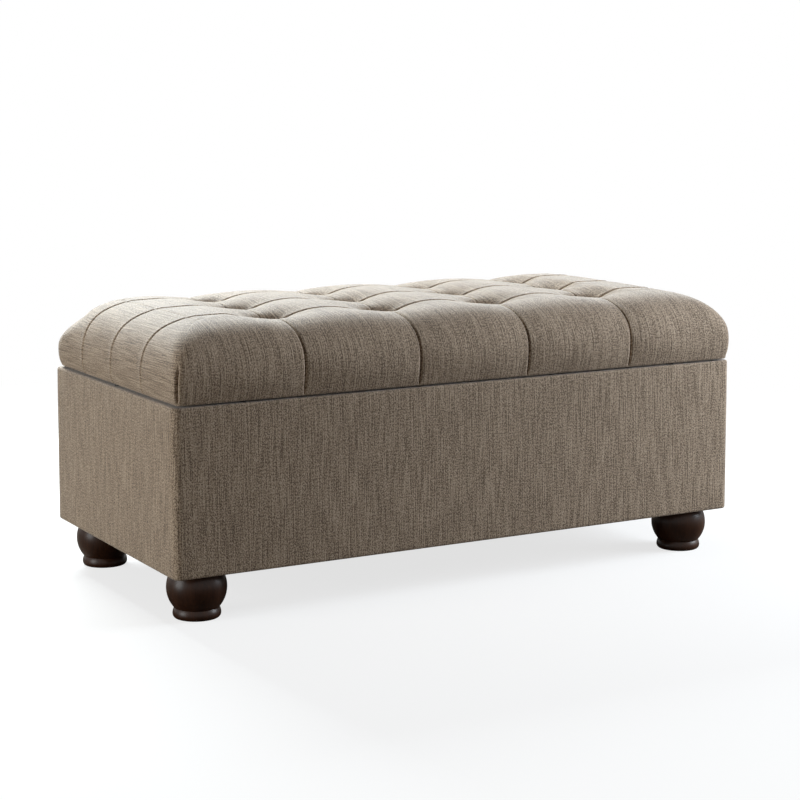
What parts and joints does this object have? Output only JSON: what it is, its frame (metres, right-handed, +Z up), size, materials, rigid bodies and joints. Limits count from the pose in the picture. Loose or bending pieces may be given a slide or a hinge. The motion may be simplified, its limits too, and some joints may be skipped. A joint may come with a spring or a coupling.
{
  "type": "storage bench",
  "caption": "Upholstered storage bench: a fabric-covered box on turned bun feet with a hinged, button-free tufted lid on damped stays.",
  "frame": {"origin": "on the floor under the middle of the bench", "axes": "+X along the length of the bench, +Y towards the hinged back, +Z up; the front faces -Y"},
  "size_m": [1.056, 0.5193, 0.456],
  "materials": {
    "linen": "matte",
    "board": "matte",
    "foam": "matte",
    "lining": "matte",
    "dust_cloth": "matte",
    "turned_wood": "satin",
    "zinc_steel": "satin",
    "hinge_steel": "satin",
    "bumper_rubber": "matte",
    "stay_plastic": "matte",
    "stay_steel": "satin",
    "pivot_steel": "satin",
    "twine": "matte"
  },
  "bodies": {
    "base": {"box_front_panel": "board", "box_back_panel": "board", "box_left_panel": "board", "box_right_panel": "board", "box_floor_panel": "board", "corner_post_front_left": "board", "corner_post_front_right": "board", "corner_post_back_left": "board", "corner_post_back_right": "board", "foot_block_front_left": "board", "foot_block_front_right": "board", "foot_block_back_left": "board", "foot_block_back_right": "board", "floor_cleat_front": "board", "floor_cleat_back": "board", "panel_screws": "zinc_steel", "box_padding": "foam", "box_cover": "linen", "storage_lining": "lining", "dust_cover": "dust_cloth", "foot_front_left": "turned_wood", "foot_front_right": "turned_wood", "foot_back_left": "turned_wood", "foot_back_right": "turned_wood", "hanger_bolts": "zinc_steel", "tee_nuts": "zinc_steel", "hinge_box_leaf_left": "hinge_steel", "hinge_box_leaf_right": "hinge_steel", "hinge_pin_left": "hinge_steel", "hinge_pin_right": "hinge_steel", "hinge_screws_box": "zinc_steel", "lid_bumpers": "bumper_rubber", "stay_housing_left": "stay_plastic", "stay_housing_right": "stay_plastic", "stay_screws_box": "zinc_steel"},
    "lid": {"lid_board": "board", "lid_foam": "foam", "lid_cover": "linen", "tuft_twines": "twine", "tuft_anchors": "zinc_steel", "lid_lining": "lining", "hinge_lid_leaf_left": "hinge_steel", "hinge_lid_leaf_right": "hinge_steel", "hinge_screws_lid": "zinc_steel", "stay_bracket_left": "stay_steel", "stay_bracket_right": "stay_steel", "stay_bracket_pins": "pivot_steel", "stay_screws_lid": "zinc_steel"},
    "stay_lever_left": {"stay_lever_left": "stay_steel", "stay_shaft_left": "pivot_steel", "stay_pivot_left": "pivot_steel"},
    "stay_link_left": {"stay_link_left": "stay_steel"},
    "stay_lever_right": {"stay_lever_right": "stay_steel", "stay_shaft_right": "pivot_steel", "stay_pivot_right": "pivot_steel"},
    "stay_link_right": {"stay_link_right": "stay_steel"}
  },
  "joints": [
    {"name": "lid_hinge", "type": "hinge", "parent": "base", "child": "lid", "pos_m": [0, 0.2573, 0.338], "axis": [-1, 0, 0], "range_deg": [0, 85]},
    {"name": "stay_lever_left_pivot", "type": "hinge", "parent": "base", "child": "stay_lever_left", "pos_m": [-0.4839, 0.1678, 0.243], "axis": [-1, 0, 0], "range_deg": [0, 85]},
    {"name": "stay_link_left_pivot", "type": "hinge", "parent": "stay_lever_left", "child": "stay_link_left", "pos_m": [-0.4839, 0.0178, 0.227], "axis": [-1, 0, 0], "range_deg": [-85, 0]},
    {"name": "stay_lever_right_pivot", "type": "hinge", "parent": "base", "child": "stay_lever_right", "pos_m": [0.4839, 0.1678, 0.243], "axis": [-1, 0, 0], "range_deg": [0, 85]},
    {"name": "stay_link_right_pivot", "type": "hinge", "parent": "stay_lever_right", "child": "stay_link_right", "pos_m": [0.4839, 0.0178, 0.227], "axis": [-1, 0, 0], "range_deg": [-85, 0]}
  ],
  "couplings": [
    {"joint": "stay_lever_left_pivot", "follows": "lid_hinge", "ratio": 1},
    {"joint": "stay_link_left_pivot", "follows": "lid_hinge", "ratio": -1},
    {"joint": "stay_lever_right_pivot", "follows": "lid_hinge", "ratio": 1},
    {"joint": "stay_link_right_pivot", "follows": "lid_hinge", "ratio": -1}
  ]
}
